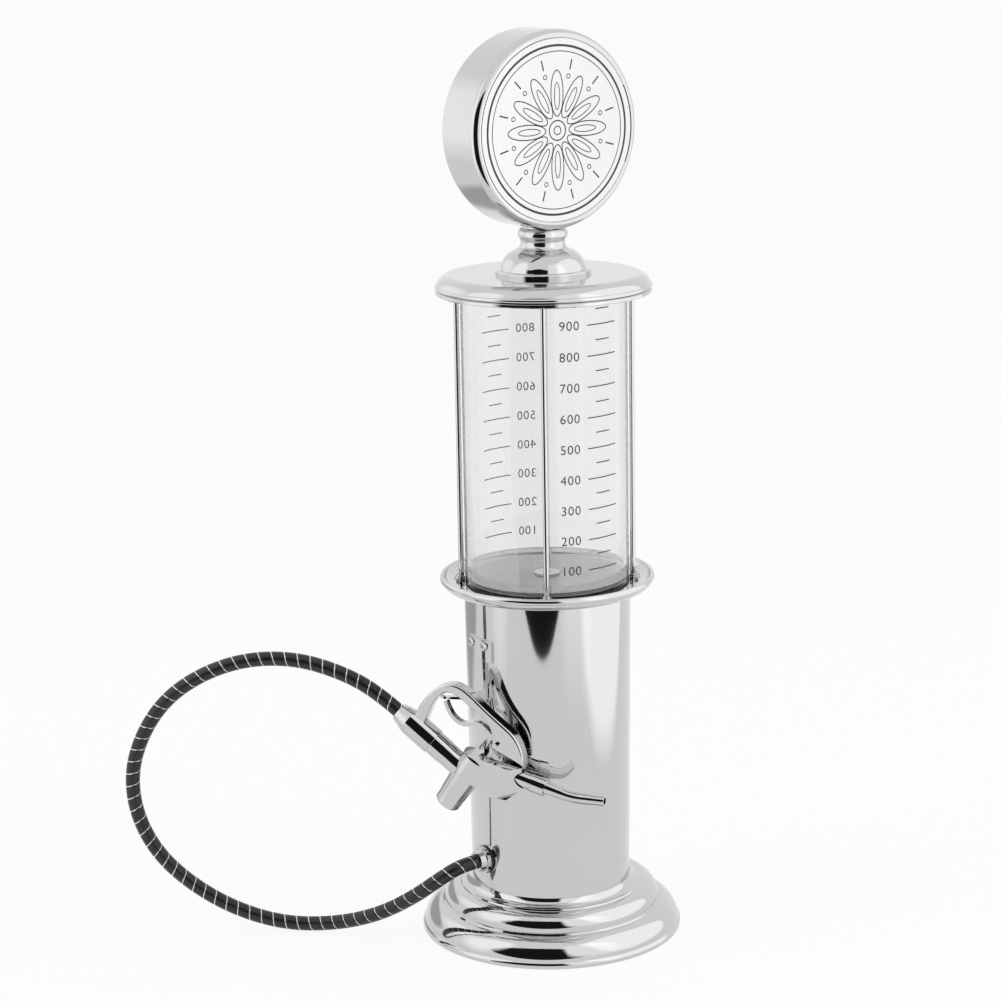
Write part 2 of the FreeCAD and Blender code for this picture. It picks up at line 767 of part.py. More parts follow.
def spot(point):
    return V(point[0], 0, point[1])


def heading(slope):
    return V(math.cos(math.radians(slope)), 0, math.sin(math.radians(slope)))


def gun_rod(radius, point, slope, low, high, end_radius=None):
    start = spot(on_line(point, slope, low))
    if end_radius is None or abs(end_radius - radius) < 1e-6:
        return Part.makeCylinder(radius, high - low, start, heading(slope))
    return Part.makeCone(radius, end_radius, high - low, start, heading(slope))


def spline(points):
    curve = Part.BSplineCurve()
    curve.interpolate([spot(p) for p in points])
    return curve.toShape()


def plate(edges, half):
    face = Part.Face(Part.Wire(edges))
    face.translate(V(0, half, 0))
    return face.extrude(V(0, -2 * half, 0))


def long_edges(shape, half):
    """Edges that lie in the plate's two faces."""
    return [e for e in shape.Edges if abs(abs(e.CenterOfMass.y) - half) < 1e-4
            and all(abs(abs(v.Y) - half) < 1e-4 for v in e.Vertexes)]


def save_gun(name, shape):
    shape = shape.copy()
    shape.Placement = gun_place.multiply(shape.Placement)
    save(name, shape)


heel = on_line(valve_point, valve_slope, stem_top + trigger_gap + trigger_nose_r)
pivot = on_line(heel, valve_slope - 90, trigger_arm)
ferrule_end = on_line(handle_start, handle_slope, ferrule_l)
sleeve_end = ferrule_l + sleeve_l


def guard_plate():
    outer = spline(guard_outside)
    inner = spline(guard_inside)
    ends = [Part.makeLine(spot(guard_outside[-1]), spot(guard_inside[0])),
            Part.makeLine(spot(guard_inside[-1]), spot(guard_outside[0]))]
    shape = plate([outer, ends[0], inner, ends[1]], gun_half)
    rounded = [e for e in long_edges(shape, gun_half) if e.Length > 20]
    return shape.makeFillet(gun_edge, rounded)


def gun_block():
    """The outline at the block's waist, drawn in towards its two faces to give slanted facets."""
    sections = []
    for half in (-gun_block_half, -gun_block_waist, gun_block_waist, gun_block_half):
        points = block_outline
        if abs(half) == gun_block_half:
            points = [(block_middle[0] + (p[0] - block_middle[0]) * block_taper[0] - block_shift,
                       block_middle[1] + (p[1] - block_middle[1]) * block_taper[1]) for p in block_outline]
        sections.append(Part.makePolygon([spot(p) + V(0, half, 0) for p in points + points[:1]]))
    return Part.makeLoft(sections, True, True)


def gun_body():
    handle = gun_rod(handle_r, handle_start, handle_slope, ferrule_l, handle_l, handle_end_r)
    sleeve = gun_rod(sleeve_r, handle_start, handle_slope, ferrule_l, sleeve_end)
    low = gun_rod(barrel_low_r, valve_point, valve_slope, barrel_low, 0, barrel_r)
    high = gun_rod(barrel_r, valve_point, valve_slope, 0, barrel_top)
    nose = gun_rod(spout_seat_r, spout_point, spout_slope, -spout_seat_l, 0.0, spout_nut_r + spout_groove)
    body = guard_plate()
    for shape in (gun_block(), handle, sleeve, low, high, nose):
        body = body.fuse(shape)
    cuts = [
        gun_rod(handle_bore_r, handle_start, handle_slope, 0, handle_l),
        gun_rod(chamber_r, valve_point, valve_slope, chamber_low, seat_at + seat_t),
        gun_rod(cap_thread_r, valve_point, valve_slope, barrel_low - 1, chamber_low),
        gun_rod(gallery_r, valve_point, valve_slope, seat_at, gallery_top),
        gun_rod(stem_r + stem_clearance, valve_point, valve_slope, seat_at, stem_top + 5),
        gun_rod(spout_bore_r, spout_point, spout_slope, -24.5, 1),
        trigger_slot(),
        pin_rod(trigger_pin_r, gun_block_half)]
    for cut in cuts:
        body = body.cut(cut)
    body = body.cut(gun_rod(sleeve_r + ferrule_room, handle_start, handle_slope, -ferrule_l, ferrule_l))
    return body.cut(gun_rod(spout_ring_r + spout_seat_gap, spout_point, spout_slope, 0, 20))


def pin_rod(radius, reach):
    """A rod on the trigger's pivot; reach is how far it goes past the middle on the far side."""
    near = gun_block_half - pin_depth
    return rod(radius, spot(pivot) + V(0, near, 0), V(0, -1, 0), near + reach)


def trigger_slot():
    half = trigger_w / 2 + trigger_slot_gap
    reach = trigger_boss_r + 0.6
    slot = plate([Part.makeLine(spot(a), spot(b)) for a, b in (
        ((pivot[0] - 9, pivot[1] - 3.2), (pivot[0], pivot[1] - reach)),
        ((pivot[0], pivot[1] - reach), (pivot[0] + reach, pivot[1] - reach)),
        ((pivot[0] + reach, pivot[1] - reach), (pivot[0] + reach, pivot[1] + 6.6)),
        ((pivot[0] + reach, pivot[1] + 6.6), (pivot[0] - 9, pivot[1] + 10.5)),
        ((pivot[0] - 9, pivot[1] + 10.5), (pivot[0] - 9, pivot[1] - 3.2)))], half)
    return slot


def trigger():
    """A bent lever: finger blade, a boss on the pin and a nose that presses the valve stem."""
    outer = spline(trigger_outside + [(heel[0] - trigger_nose_r, heel[1])])
    root = (pivot[0] + trigger_boss_r / 4, pivot[1] + trigger_boss_r)
    inner = spline([root] + trigger_inside)
    tip = Part.makeLine(spot(trigger_inside[-1]), spot(trigger_outside[0]))
    back = [Part.makeLine(spot((heel[0] - trigger_nose_r, heel[1])), spot(heel)),
            Part.makeLine(spot(heel), spot(pivot)),
            Part.makeLine(spot(pivot), spot(root))]
    blade = plate([outer] + back + [inner, tip], trigger_w / 2)
    across = V(0, -trigger_w, 0)
    nose = rod(trigger_nose_r, spot(heel) + V(0, trigger_w / 2, 0), across, trigger_w)
    boss = rod(trigger_boss_r, spot(pivot) + V(0, trigger_w / 2, 0), across, trigger_w)
    lever = blade.fuse(nose).fuse(boss).removeSplitter()
    return lever.cut(pin_rod(trigger_pin_r + trigger_pin_clearance, trigger_w))


save_gun("gun_body", gun_body())
save_gun("trigger", trigger())
save_gun("trigger_pin", pin_rod(trigger_pin_r, gun_block_half - pin_depth / 2))


def hose_ferrule():
    lip_r = sleeve_r - ferrule_step
    lip = gun_rod(lip_r, handle_start, handle_slope, ferrule_l - ferrule_lip, ferrule_l)
    ferrule = gun_rod(ferrule_r, handle_start, handle_slope, 0, ferrule_l - ferrule_lip, lip_r)
    ferrule = ferrule.fuse(lip).removeSplitter()
    ferrule = ferrule.cut(gun_rod(handle_bore_r, handle_start, handle_slope, -1, ferrule_l + 1))
    return ferrule.cut(gun_rod(ferrule_socket_r, handle_start, handle_slope, -1, ferrule_socket))


def valve_cap():
    cap = gun_rod(cap_r, valve_point, valve_slope, barrel_low - cap_l, barrel_low)
    end = spot(on_line(valve_point, valve_slope, barrel_low - cap_l))
    cap = cap.makeFillet(cap_edge, [e for e in cap.Edges if e.CenterOfMass.distanceToPoint(end) < 0.1])
    cap = cap.fuse(gun_rod(cap_thread_r, valve_point, valve_slope, barrel_low, chamber_low)).removeSplitter()
    return cap.cut(gun_rod(cap_bore_r, valve_point, valve_slope, spring_low, chamber_low))


spring_low = barrel_low - cap_l + cap_floor
stem_head_top = seat_at - seat_gap
stem_head_low = stem_head_top - stem_head_t
save_gun("hose_ferrule", hose_ferrule())
save_gun("valve_cap", valve_cap())
seat = gun_rod(chamber_r, valve_point, valve_slope, seat_at, seat_at + seat_t)
save_gun("valve_seat", seat.cut(gun_rod(seat_bore_r, valve_point, valve_slope, seat_at, seat_at + seat_t)))
spring = gun_rod(spring_r, valve_point, valve_slope, spring_low, stem_head_low)
spring_bore = gun_rod(spring_r - spring_wall, valve_point, valve_slope, spring_low, stem_head_low)
save_gun("valve_spring", spring.cut(spring_bore))
stem = gun_rod(stem_r, valve_point, valve_slope, stem_head_low, stem_top)
stem_head = gun_rod(stem_head_r, valve_point, valve_slope, stem_head_low, stem_head_top)
save_gun("valve_stem", stem.fuse(stem_head).removeSplitter())


# Spout: a nut of two rings, then a tapered root that bends level into a thin tube
def spout_nut():
    step = spout_nut_l + spout_groove
    end = step + spout_ring_l
    nut = gun_rod(spout_nut_r, spout_point, spout_slope, 0, spout_nut_l)
    nut = nut.fuse(gun_rod(spout_nut_r - spout_groove, spout_point, spout_slope, spout_nut_l, step))
    nut = nut.fuse(gun_rod(spout_ring_r, spout_point, spout_slope, step, end)).removeSplitter()
    nut = nut.cut(gun_rod(spout_root_r, spout_point, spout_slope, spout_nut_l, end))
    return nut.cut(gun_rod(spout_bore_r, spout_point, spout_slope, 0, spout_nut_l))


def spout_path(first):
    start = on_line(spout_point, spout_slope, first)
    knee = on_line(spout_point, spout_slope, spout_nut_l + spout_groove + spout_ring_l + spout_root_l)
    centre = on_line(knee, spout_slope + 90, spout_bend_r)
    middle = on_line(centre, spout_slope / 2 - 90, spout_bend_r)
    level = (centre[0], centre[1] - spout_bend_r)
    return [Part.makeLine(spot(start), spot(knee)), Part.Arc(spot(knee), spot(middle), spot(level)).toShape(),
            Part.makeLine(spot(level), spot((level[0] + spout_end_l - spout_tip_l, level[1])))], level


def spout_tube():
    edges, level = spout_path(spout_nut_l)
    wire = Part.Wire(edges)
    start = edges[0].Vertexes[0].Point
    outer = Part.Wire(Part.makeCircle(spout_r, start, heading(spout_slope)))
    inner = Part.Wire(Part.makeCircle(spout_bore_r, start, heading(spout_slope)))
    pipe = wire.makePipeShell([outer], True, False)
    root_end = spout_nut_l + spout_groove + spout_ring_l
    root = gun_rod(spout_root_r, spout_point, spout_slope, spout_nut_l, root_end)
    taper = gun_rod(spout_root_r, spout_point, spout_slope, root_end, root_end + spout_root_l, spout_r)
    pipe = pipe.fuse(root).fuse(taper).removeSplitter()
    return pipe.cut(wire.makePipeShell([inner], True, False))


def spout_tip():
    edges, level = spout_path(spout_nut_l)
    end = level[0] + spout_end_l
    tip = gun_rod(spout_tip_r, (end, level[1]), 0, -spout_tip_l, 0)
    return tip.cut(gun_rod(spout_bore_r, (end, level[1]), 0, -spout_tip_l - 1, 1))


save_gun("spout_nut", spout_nut())
save_gun("spout_tube", spout_tube())
save_gun("spout_tip", spout_tip())


# Hose: a free loop that leaves the gland square, rests on the table and rises to the gun
def gun_point(point):
    return gun_place.multVec(spot(point))


hose_start = V(-(gland_face + gland_flange_t + gland_nose_l) + hose_socket_depth, 0, gland_z)
hose_end = gun_point(on_line(handle_start, handle_slope, ferrule_socket))
hose_rise = gun_point(on_line(handle_start, handle_slope, ferrule_socket - 20.0))
hose_route = [
    hose_start, V(-60.0, 0.0, gland_z), V(-70.5, 5.0, 39.8), V(-81.5, 18.5, 26.2), V(-93.5, 36.5, 13.4),
    V(-108.5, 57.0, 5.2), V(-130.0, 76.5, 4.1), V(-152.5, 93.0, 12.8), V(-172.0, 107.5, 27.6),
    V(-187.5, 118.0, 46.5), V(-196.5, 124.0, 70.0), V(-198.0, 125.0, 95.0), V(-191.5, 120.5, 118.5),
    V(-180.0, 112.5, 138.0), V(-163.0, 100.5, 152.0), V(-143.0, 86.5, 159.8), V(-122.0, 70.5, 160.2),
    V(-104.5, 53.0, 154.0), hose_rise, hose_end]


def hose_path():
    """Straight runs joined by tangent arcs, each arc as large as its two runs allow."""
    edges = []
    last = hose_route[0]
    for before, point, after in zip(hose_route, hose_route[1:], hose_route[2:]):
        run_in = point - before
        run_out = after - point
        turn = run_in.getAngle(run_out)
        trim = 0.45 * min(run_in.Length, run_out.Length)
        radius = trim / math.tan(turn / 2)
        start = point - run_in.normalize() * trim
        end = point + run_out.normalize() * trim
        bisector = (run_out - run_in).normalize()
        middle = point + bisector * (radius / math.cos(turn / 2) - radius)
        print(f"hose bend: radius {radius:.1f}, turn {math.degrees(turn):.1f}")
        edges.append(Part.makeLine(last, start))
        edges.append(Part.Arc(start, middle, end).toShape())
        last = end
    edges.append(Part.makeLine(last, hose_route[-1]))
    return edges


def along(edges, distance):
    for edge in edges:
        if distance <= edge.Length or edge is edges[-1]:
            u = edge.getParameterByLength(min(distance, edge.Length))
            return edge.valueAt(u), edge.tangentAt(u)
        distance -= edge.Length


def hose_circle(edges, distance, radius, side):
    point, tangent = along(edges, distance)
    across = (side - tangent * side.dot(tangent)).normalize()
    third = tangent.cross(across)
    circle = Part.makeCircle(radius)
    circle.Placement = FreeCAD.Placement(FreeCAD.Matrix(
        across.x, third.x, tangent.x, point.x, across.y, third.y, tangent.y, point.y,
        across.z, third.z, tangent.z, point.z, 0, 0, 0, 1))
    return Part.Wire(circle)


def hose():
    edges = hose_path()
    length = sum(e.Length for e in edges)
    side = V(-0.559, -0.829, 0)
    count = round(length / hose_pitch)
    pitch = length / count
    half = hose_groove_w / 2
    wires = [hose_circle(edges, 0, hose_r, side)]
    for i in range(1, count):
        at = i * pitch
        wires.append(hose_circle(edges, at - half, hose_r, side))
        wires.append(hose_circle(edges, at - half / 2, hose_r - hose_groove, side))
        wires.append(hose_circle(edges, at + half / 2, hose_r - hose_groove, side))
        wires.append(hose_circle(edges, at + half, hose_r, side))
    wires.append(hose_circle(edges, length, hose_r, side))
    outer = Part.makeLoft(wires, True, True)
    bore = Part.Wire(edges).makePipeShell([hose_circle(edges, 0, hose_bore_r, side)], True, False)
    solid = outer.cut(bore)
    plain = math.pi * (hose_r ** 2 - hose_bore_r ** 2) * length
    print(f"hose: length {length:.1f}, {count} bands, {solid.Volume:.0f} of a plain tube's {plain:.0f} mm3")
    return solid


save("hose", hose())
print(f"height {head_z + head_r:.1f}, hose ends {tuple(round(c, 1) for c in hose_end)}")
for name, point in (("pivot", pivot), ("heel", heel)):
    print(f"gun {name} {tuple(round(c, 2) for c in gun_point(point))}")
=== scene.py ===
import math

import bpy
from mathutils import Euler, Matrix, Vector


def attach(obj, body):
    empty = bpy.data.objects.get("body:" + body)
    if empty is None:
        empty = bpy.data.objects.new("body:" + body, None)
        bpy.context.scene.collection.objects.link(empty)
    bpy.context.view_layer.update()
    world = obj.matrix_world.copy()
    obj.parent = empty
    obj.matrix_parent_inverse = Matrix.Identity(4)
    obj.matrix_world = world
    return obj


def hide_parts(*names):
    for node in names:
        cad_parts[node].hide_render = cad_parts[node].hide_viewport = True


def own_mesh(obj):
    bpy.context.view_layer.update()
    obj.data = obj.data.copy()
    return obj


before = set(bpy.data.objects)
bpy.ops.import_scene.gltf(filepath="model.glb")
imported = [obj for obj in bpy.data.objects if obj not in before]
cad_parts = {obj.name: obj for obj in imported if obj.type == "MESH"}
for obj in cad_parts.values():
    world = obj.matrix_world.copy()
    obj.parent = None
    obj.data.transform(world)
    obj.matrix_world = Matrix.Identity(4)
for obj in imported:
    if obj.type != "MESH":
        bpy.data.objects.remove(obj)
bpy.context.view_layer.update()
bpy.ops.object.select_all(action="DESELECT")


# Camera: a long lens at a table's height, turned to the pump's left front and a little down.
# The photograph leans by a degree, so the camera rolls by that much.
bpy.ops.object.camera_add(location=(-0.8279, -1.1826, 0.5845))
camera = bpy.context.object
tilt = Euler((math.radians(76.78), 0, math.radians(-34.0))).to_matrix()
camera.rotation_euler = (tilt @ Matrix.Rotation(math.radians(-0.978), 3, "Z")).to_euler()
camera.data.sensor_width = 36.0
camera.data.lens = 97.2
camera.data.clip_start = 0.05
camera.data.clip_end = 50.0
bpy.context.scene.camera = camera
bpy.context.scene.view_settings.view_transform = "Standard"


class Value:
    """A socket that takes part in sums: each operator adds one Math node."""

    def __init__(self, finish, socket):
        self.finish = finish
        self.socket = socket

    def maths(self, operation, *values):
        return self.finish.node("Math", {"operation": operation}, dict(enumerate(values)))

    def __add__(self, other):
        return self.maths("ADD", self, other)

    __radd__ = __add__

    def __sub__(self, other):
        return self.maths("SUBTRACT", self, other)

    def __rsub__(self, other):
        return self.maths("SUBTRACT", other, self)

    def __mul__(self, other):
        return self.maths("MULTIPLY", self, other)

    def __gt__(self, other):
        return self.maths("GREATER_THAN", self, other)

    def __abs__(self):
        return self.maths("ABSOLUTE", self)


class Finish:
    """The nodes of one material, or of the world."""

    def __init__(self, name, owner=None, **constants):
        self.block = owner or bpy.data.materials.new(name)
        self.block.use_nodes = True
        self.tree = self.block.node_tree
        self.shader = self.tree.nodes.get("Principled BSDF")
        for socket, value in constants.items():
            self.shader.inputs[socket.replace("_", " ")].default_value = value

    def put(self, socket, value):
        if isinstance(value, Value):
            self.tree.links.new(value.socket, socket)
        else:
            socket.default_value = value

    def node(self, kind, settings=None, values=None, output=0):
        made = self.tree.nodes.new("ShaderNode" + kind)
        for name, value in (settings or {}).items():
            setattr(made, name, value)
        for name, value in (values or {}).items():
            self.put(made.inputs[name], value)
        return Value(self, made.outputs[output])

    def place(self, stretch=(1, 1, 1)):
        """Object coordinates, stretched along each axis."""
        spot = self.node("TexCoord", output="Object")
        return self.node("Mapping", values={"Vector": spot, "Scale": stretch})

    def noise(self, scale, stretch=(1, 1, 1), detail=3.0):
        return self.node("TexNoise", values={"Vector": self.place(stretch), "Scale": scale, "Detail": detail})

    def ray(self, kind):
        """1 for rays of this kind and 0 for others."""
        return self.node("LightPath", output="Is " + kind + " Ray")

    def mix(self, share, first, second):
        return self.node("Mix", {"data_type": "RGBA"}, {0: share, 6: first, 7: second}, output=2)

    def set(self, socket, value):
        self.put(self.shader.inputs[socket], value)
        return self

    def bump(self, height, distance, strength=1.0):
        relief = self.node("Bump", values={"Height": height, "Distance": distance, "Strength": strength})
        return self.set("Normal", relief)


# Table and studio: a white sweep that keeps a faint shadow under a white sky. Round the pump stand
# the soft boxes, the grey wall and the dark gap that polished metal shows.
bpy.ops.mesh.primitive_plane_add(size=60.0)
floor = bpy.context.object
floor.name = "floor"
sweep = Finish("white_sweep", Base_Color=(0.93, 0.93, 0.93, 1), Roughness=0.9)
glow = sweep.node("Emission", values={"Color": (1, 1, 1, 1), "Strength": 1.0})
lit_floor = Value(sweep, sweep.shader.outputs[0])
white_seen = 0.9
white_mirrored = 0.85
share = (sweep.ray("Camera") + sweep.ray("Transmission")) * white_seen + sweep.ray("Glossy") * white_mirrored
shown = sweep.node("MixShader", values={0: share, 1: lit_floor, 2: glow})
sweep.put(sweep.tree.nodes["Material Output"].inputs["Surface"], shown)
floor.data.materials.append(sweep.block)

sky = Finish("studio", bpy.data.worlds.new("studio"))
bpy.context.scene.world = sky.block
lit = sky.tree.nodes["Background"]
lit.inputs["Color"].default_value = (1, 1, 1, 1)
fill = 0.65
direct = sky.ray("Camera") + sky.ray("Glossy") + sky.ray("Transmission")
sky.put(lit.inputs["Strength"], direct * (1 - fill) + fill)


def card(name, azimuth, distance, half_width, middle, half_height, level, feather, square=2.0):
    """An upright card that fades at its rim and shows only in what is polished. Azimuth 0 is the
    pump's front and -90 its left. At square 2 the card is an oval, and above that it nears a
    rectangle."""
    turn = math.radians(azimuth)
    place = (distance * math.sin(turn), -distance * math.cos(turn), middle)
    bpy.ops.mesh.primitive_plane_add(size=2.0, location=place, rotation=(math.pi / 2, 0, turn))
    piece = bpy.context.object
    piece.name = name
    piece.scale = (half_width, half_height, 1)
    look = Finish(name)
    spot = look.node("TexCoord", output="Object")
    apart = look.node("SeparateXYZ", values={0: spot})
    across, up = (Value(look, apart.socket.node.outputs[axis]) for axis in "XY")
    reach = across.maths("POWER", abs(across), square) + up.maths("POWER", abs(up), square)
    reach = reach.maths("POWER", reach, 1 / square)
    mask = look.node("Math", {"operation": "MULTIPLY", "use_clamp": True}, {0: 1 - reach, 1: 1 / feather})
    clear = look.node("BsdfTransparent")
    flat = look.node("Emission", values={"Color": (level, level, level, 1), "Strength": 1.0})
    shown = look.node("MixShader", values={0: mask, 1: clear, 2: flat})
    look.put(look.tree.nodes["Material Output"].inputs["Surface"], shown)
    piece.data.materials.append(look.block)
    for kind in ("camera", "diffuse", "transmission", "shadow", "volume_scatter"):
        setattr(piece, "visible_" + kind, False)


card("dark_gap", -42.5, 0.50, 0.55, 0.3575, 0.337, 0.012, 0.008)
card("soft_box_right", 45, 0.31, 0.28, 0.41, 0.408, 1.42, 0.08, 3.0)
card("soft_core", 16, 0.32, 0.10, 0.42, 0.40, 1.65, 0.6)
card("soft_middle", 2, 0.40, 0.20, 0.46, 0.45, 1.22, 0.2, 4.0)
card("soft_box_left", -102, 0.45, 0.22, 0.50, 0.52, 1.4, 0.35)
card("soft_side", -150, 0.60, 0.36, 0.52, 0.32, 1.3, 0.5)
card("grey_wall_left", -170, 0.40, 0.20, 0.09, 0.10, 0.50, 0.3)


def lamp(name, azimuth, height, distance, size, power):
    """A square lamp aimed at the middle of the column. It lights what is matt and isn't mirrored."""
    turn = math.radians(azimuth)
    place = Vector((distance * math.sin(turn), -distance * math.cos(turn), height))
    bpy.ops.object.light_add(type="AREA", location=place)
    piece = bpy.context.object
    piece.name = name
    piece.rotation_euler = (Vector((0, 0, 0.22)) - place).to_track_quat("-Z", "Y").to_euler()
    piece.data.size = size
    piece.data.energy = power
    piece.visible_camera = False
    piece.visible_glossy = False
    piece.visible_transmission = False


lamp("lamp_right", 40, 1.5, 1.6, 1.2, 9.0)
lamp("lamp_left", -110, 1.3, 1.6, 1.2, 6.0)


# Hose: black jacket wound in bands of 7 mm on a clear tube, with a fine bright wire laid in the
# groove between two turns. It leaves the gland, lies on the table in one free loop and rises
# to the gun's ferrule, into which it is clamped.
hose_route = [
    (-0.04616, 0.0, 0.0465), (-0.0600, 0.0, 0.0465), (-0.0705, 0.0050, 0.0398),
    (-0.0815, 0.0185, 0.0262), (-0.0935, 0.0365, 0.0134), (-0.1085, 0.0570, 0.0052),
    (-0.1300, 0.0765, 0.0041), (-0.1525, 0.0930, 0.0128), (-0.1720, 0.1075, 0.0276),
    (-0.1875, 0.1180, 0.0465), (-0.1965, 0.1240, 0.0700), (-0.1980, 0.1250, 0.0950),
    (-0.1915, 0.1205, 0.1185), (-0.1800, 0.1125, 0.1380), (-0.1630, 0.1005, 0.1520),
    (-0.1430, 0.0865, 0.1598), (-0.1220, 0.0705, 0.1602), (-0.1045, 0.0530, 0.1540),
    (-0.09026, 0.03633, 0.14397), (-0.08141, 0.02319, 0.13177)]
hose_r = 0.0040
hose_pitch = 0.0071
hose_sides = 28
line = bpy.data.curves.new("hose_line", "CURVE")
line.dimensions = "3D"
line.resolution_u = 16
run = line.splines.new("NURBS")
run.points.add(len(hose_route) - 1)
for knot, spot in zip(run.points, hose_route):
    knot.co = (*spot, 1)
run.order_u = 3
run.use_endpoint_u = True
guide = bpy.data.objects.new("hose_line", line)
bpy.context.scene.collection.objects.link(guide)
bpy.context.view_layer.update()
sampled = bpy.data.meshes.new_from_object(guide.evaluated_get(bpy.context.evaluated_depsgraph_get()))
hose_path = [v.co.copy() for v in sampled.vertices]
bpy.data.objects.remove(guide)
hose_far = [0.0]
for before, after in zip(hose_path, hose_path[1:]):
    hose_far.append(hose_far[-1] + (after - before).length)
hose_length = hose_far[-1]


def hose_frames():
    """Two directions square to the hose at each sampled point, carried along without twist."""
    across = Vector((-0.559, -0.829, 0))
    frames = []
    for i in range(len(hose_path)):
        heading = (hose_path[min(i + 1, len(hose_path) - 1)] - hose_path[max(i - 1, 0)]).normalized()
        across = (across - heading * across.dot(heading)).normalized()
        frames.append((across.copy(), heading.cross(across)))
    return frames


frames = hose_frames()


def hose_spot(far, turn, radius):
    """The point at a distance along the hose, an angle round it and a radius from its middle."""
    far = min(max(far, 0.0), hose_length)
    i = next((k for k in range(1, len(hose_far)) if hose_far[k] >= far), len(hose_far) - 1)
    share = (far - hose_far[i - 1]) / (hose_far[i] - hose_far[i - 1])
    middle = hose_path[i - 1].lerp(hose_path[i], share)
    across = frames[i - 1][0].lerp(frames[i][0], share).normalized()
    third = frames[i - 1][1].lerp(frames[i][1], share).normalized()
    return middle + (across * math.cos(turn) + third * math.sin(turn)) * radius


# one turn of the winding, as (share of the pitch, how far it lies below the jacket's surface)
hose_band = [(0.0, 0.00032), (0.035, 0.00020), (0.06, 0.00004), (0.11, 0.0), (0.30, 0.0), (0.50, 0.0),
             (0.70, 0.0), (0.89, 0.0), (0.94, 0.00004), (0.965, 0.00020)]
turns = int(hose_length / hose_pitch) + 2
lanes = turns * len(hose_band)
points = []
for lane in range(lanes):
    share, depth = hose_band[lane % len(hose_band)]
    for side in range(hose_sides):
        far = hose_pitch * (lane // len(hose_band) + share + side / hose_sides - 1)
        radius = hose_r - (depth if 0 < far < hose_length else hose_band[0][1])
        points.append(hose_spot(far, 2 * math.pi * side / hose_sides, radius))
faces = []
for lane in range(lanes - 1):
    for side in range(hose_sides):
        beside = lane + (0 if side < hose_sides - 1 else len(hose_band))
        if beside + 1 < lanes:
            a = lane * hose_sides + side
            b = beside * hose_sides + (side + 1) % hose_sides
            faces.append((a, b, b + hose_sides, a + hose_sides))
jacket = bpy.data.meshes.new("hose_jacket")
jacket.from_pydata(points, [], faces)
hose = bpy.data.objects.new("hose_jacket", jacket)
bpy.context.scene.collection.objects.link(hose)
turn_map = jacket.attributes.new("winding", "FLOAT", "POINT")
for number, value in enumerate(turn_map.data):
    value.value = abs((number // hose_sides) / len(hose_band) % 1.0 - 0.5)
bpy.ops.object.select_all(action="DESELECT")
hose.select_set(True)
bpy.context.view_layer.objects.active = hose
bpy.ops.object.mode_set(mode="EDIT")
bpy.ops.mesh.select_all(action="SELECT")
bpy.ops.mesh.remove_doubles(threshold=1e-6)
bpy.ops.mesh.dissolve_degenerate(threshold=1e-7)
bpy.ops.mesh.fill_holes(sides=0)
bpy.ops.mesh.normals_make_consistent(inside=False)
bpy.ops.object.mode_set(mode="OBJECT")
bpy.ops.object.shade_smooth()

black_hose = Finish("black_hose", Specular_IOR_Level=0.5)
winding = black_hose.node("Attribute", {"attribute_name": "winding"}, output="Fac")
wire = winding > 0.405
weave = black_hose.node("TexNoise", values={"Vector": black_hose.place(), "Scale": 900.0, "Detail": 2.0})
dust = black_hose.noise(60.0)
rubber_black = black_hose.mix(dust, (0.005, 0.005, 0.005, 1), (0.011, 0.011, 0.012, 1))
black_hose.set("Base Color", black_hose.mix(wire, rubber_black, (0.78, 0.78, 0.79, 1)))
black_hose.set("Metallic", wire)
black_hose.set("Roughness", 0.26 + weave * 0.14 - wire * 0.14)
black_hose.bump(weave, 0.0002, 0.35)
jacket.materials.append(black_hose.block)
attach(hose, "stand")
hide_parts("hose")
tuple(hose_route[0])


# Plated steel and brass: bright chrome over spun or pressed metal. The plate is clean and nearly
# without texture, with faint rings left by the polishing wheel and a slight wave in the sheet.
def chrome(name, rings=True, wave=0.00004):
    """Rings suit a piece turned about its own upright axis. The wave is in metres."""
    dull, clean, rough = 0.565, 0.595, 0.03
    plate = Finish(name, Metallic=1.0)
    smear = plate.noise(35.0, detail=4.0)
    plate.set("Base Color", plate.mix(smear, (dull, dull, dull * 1.005, 1), (clean, clean, clean + 0.004, 1)))
    if rings:
        lines = plate.noise(40.0, stretch=(0.6, 0.6, 60.0), detail=5.0)
    else:
        lines = plate.noise(260.0, detail=2.0)
    plate.set("Roughness", rough + lines * 0.03 + smear * 0.015)
    swell = plate.noise(22.0, stretch=(1, 1, 0.7), detail=0.0)
    return plate.bump(swell + lines * 0.012, wave)


def dress(finish, *nodes):
    """Gives CAD nodes their finish, in every slot that they have."""
    for node in nodes:
        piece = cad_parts[node]
        if not piece.material_slots:
            piece.data.materials.append(finish.block)
        for slot in piece.material_slots:
            slot.material = finish.block


spun = chrome("chrome_spun")
dress(spun, "base_foot", "collar", "lid_cap", "top_ring", "neck")
drawn = chrome("chrome_drawn", wave=0.00002)
dress(drawn, "column", "tie_rod_1", "tie_rod_2", "tie_rod_3", "tie_rod_4")
pressed = chrome("chrome_pressed", rings=False)
dress(pressed, "head_front_shell", "head_back_shell", "hanger")


# Hidden fixings inside foot, column and lid: zinc-plated steel, dull grey with the faint
# cloudy grain of the plating. They are screwed together when the pump is assembled.
zinc = Finish("zinc_steel", Metallic=1.0)
cloud = zinc.noise(180.0, detail=4.0)
zinc.set("Base Color", zinc.mix(cloud, (0.50, 0.51, 0.53, 1), (0.66, 0.67, 0.69, 1)))
zinc.set("Roughness", 0.28 + cloud * 0.2)
zinc.bump(cloud, 0.00005, 0.4)
dress(zinc, "ballast_plate", "column_ring", "base_screws", "head_stud", "stud_nuts", "rod_nuts",
      "hanger_nuts", "gland_nut", "outlet_nut", "outlet_fitting")

